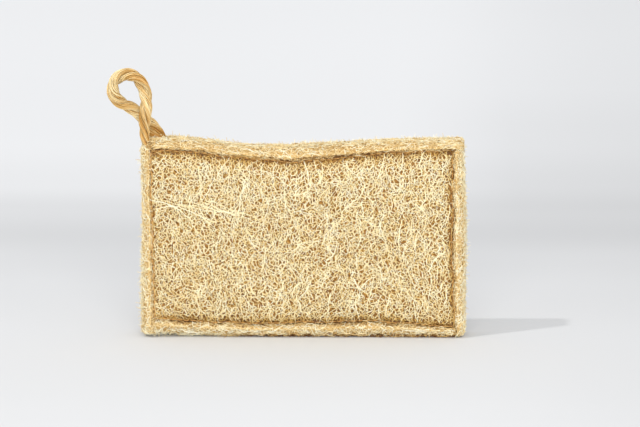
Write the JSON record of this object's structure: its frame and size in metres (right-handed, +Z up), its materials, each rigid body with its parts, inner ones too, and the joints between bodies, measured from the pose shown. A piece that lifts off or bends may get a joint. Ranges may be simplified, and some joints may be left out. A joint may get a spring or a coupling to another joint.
{
  "type": "loofah scrubbing pad",
  "caption": "Rectangular scrubbing pad of natural loofah, pillowed on both faces, with sewn edge strips and a twisted hanging loop at one top corner.",
  "frame": {"origin": "middle of the flat underside of the bottom edge strip, between the two faces", "axes": "+X to the right along the pad's long side, +Y from the front face to the back face, +Z up; the loop is at the top left corner"},
  "size_m": [0.1605, 0.024, 0.1206],
  "materials": {
    "loofah_mat": "dry, fibrous, matt",
    "loofah_strip": "dry, fibrous, matt",
    "seam_thread": "matt",
    "twisted_straw": "satin"
  },
  "bodies": {
    "root": {"front_mat": "loofah_mat", "back_mat": "loofah_mat", "edge_strip_top": "loofah_strip", "edge_strip_right": "loofah_strip", "edge_strip_bottom": "loofah_strip", "edge_strip_left": "loofah_strip", "needle_thread": "seam_thread", "bobbin_thread": "seam_thread", "loop_ply_a": "twisted_straw", "loop_ply_b": "twisted_straw"}
  },
  "joints": []
}
